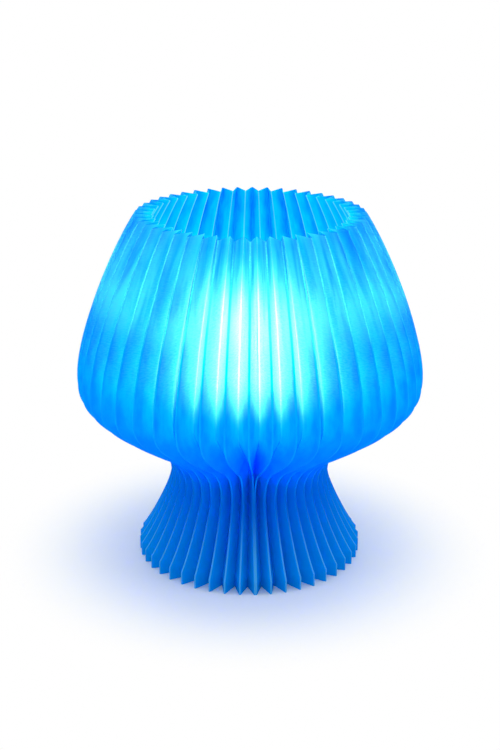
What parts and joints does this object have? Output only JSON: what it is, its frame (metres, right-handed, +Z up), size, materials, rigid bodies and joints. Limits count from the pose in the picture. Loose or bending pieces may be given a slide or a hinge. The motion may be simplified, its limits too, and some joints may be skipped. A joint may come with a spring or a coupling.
{
  "type": "accordion table lamp",
  "caption": "Mushroom-shaped pleated accordion shade and foot in one translucent sheet, closed at a front seam, round a cordless light unit with a push button.",
  "frame": {"origin": "on the table under the lamp's axis, at the level of the foot's lower edge", "axes": "+Z up along the lamp's axis, -Y towards the front seam, +X to the right seen from the front"},
  "size_m": [0.22, 0.2196, 0.226],
  "materials": {
    "shade_sheet": "gloss",
    "magnet_steel": "satin",
    "housing_plastic": "matte",
    "button_plastic": "satin",
    "opal_globe": "satin",
    "light_strip": "matte",
    "head_aluminium": "satin",
    "fastener_steel": "satin",
    "ballast_iron": "matte",
    "battery_foil": "satin",
    "board_green": "satin",
    "switch_plastic": "satin",
    "foot_rubber": "matte",
    "wire_red": "satin",
    "wire_black": "satin"
  },
  "bodies": {
    "light_unit": {"shade_back": "shade_sheet", "base_housing": "housing_plastic", "base_cover": "housing_plastic", "foot_pad_1": "foot_rubber", "foot_pad_2": "foot_rubber", "foot_pad_3": "foot_rubber", "foot_pad_4": "foot_rubber", "cover_screw_1": "fastener_steel", "cover_screw_2": "fastener_steel", "cover_screw_3": "fastener_steel", "cover_screw_4": "fastener_steel", "ballast_weight": "ballast_iron", "battery_pack": "battery_foil", "main_board": "board_green", "charge_socket": "fastener_steel", "stem_tube": "head_aluminium", "stem_nut": "fastener_steel", "neck_ring": "housing_plastic", "head_cup": "housing_plastic", "led_post": "head_aluminium", "light_strip_1": "light_strip", "light_strip_2": "light_strip", "light_strip_3": "light_strip", "light_strip_4": "light_strip", "light_strip_5": "light_strip", "light_strip_6": "light_strip", "globe_diffuser": "opal_globe", "crown_cap": "housing_plastic", "latching_switch": "switch_plastic", "switch_board": "board_green", "lamp_wire_red": "wire_red", "lamp_wire_black": "wire_black", "battery_wire_red": "wire_red", "battery_wire_black": "wire_black"},
    "right_rear": {"shade_right_rear": "shade_sheet"},
    "right_middle": {"shade_right_middle": "shade_sheet"},
    "right_front": {"shade_right_front": "shade_sheet", "seam_magnet_right_lower": "magnet_steel", "seam_magnet_right_upper": "magnet_steel"},
    "left_rear": {"shade_left_rear": "shade_sheet"},
    "left_middle": {"shade_left_middle": "shade_sheet"},
    "left_front": {"shade_left_front": "shade_sheet", "seam_magnet_left_lower": "magnet_steel", "seam_magnet_left_upper": "magnet_steel"},
    "button": {"power_button": "button_plastic", "switch_plunger": "switch_plastic"}
  },
  "joints": [
    {"name": "open_right_rear", "type": "hinge", "parent": "light_unit", "child": "right_rear", "pos_m": [0.03733, 0.10379, 0], "axis": [0, 0, 1], "range_deg": [0, 12]},
    {"name": "open_right_middle", "type": "hinge", "parent": "right_rear", "child": "right_middle", "pos_m": [0.10663, 0.02822, 0], "axis": [0, 0, 1], "range_deg": [0, 12]},
    {"name": "open_right_front", "type": "hinge", "parent": "right_middle", "child": "right_front", "pos_m": [0.08383, -0.07168, 0], "axis": [0, 0, 1], "range_deg": [0, 12]},
    {"name": "open_left_rear", "type": "hinge", "parent": "light_unit", "child": "left_rear", "pos_m": [-0.03733, 0.10379, 0], "axis": [0, 0, -1], "range_deg": [0, 12]},
    {"name": "open_left_middle", "type": "hinge", "parent": "left_rear", "child": "left_middle", "pos_m": [-0.10663, 0.02822, 0], "axis": [0, 0, -1], "range_deg": [0, 12]},
    {"name": "open_left_front", "type": "hinge", "parent": "left_middle", "child": "left_front", "pos_m": [-0.08383, -0.07168, 0], "axis": [0, 0, -1], "range_deg": [0, 12]},
    {"name": "button_press", "type": "slide", "parent": "light_unit", "child": "button", "axis": [0, 0, -1], "range_m": [0, 0.0015], "stiffness_N_per_m": 400, "springref_m": -0.0008}
  ],
  "couplings": [
    {"joint": "open_right_middle", "follows": "open_right_rear", "ratio": 1},
    {"joint": "open_right_front", "follows": "open_right_rear", "ratio": 1},
    {"joint": "open_left_rear", "follows": "open_right_rear", "ratio": 1},
    {"joint": "open_left_middle", "follows": "open_right_rear", "ratio": 1},
    {"joint": "open_left_front", "follows": "open_right_rear", "ratio": 1}
  ]
}
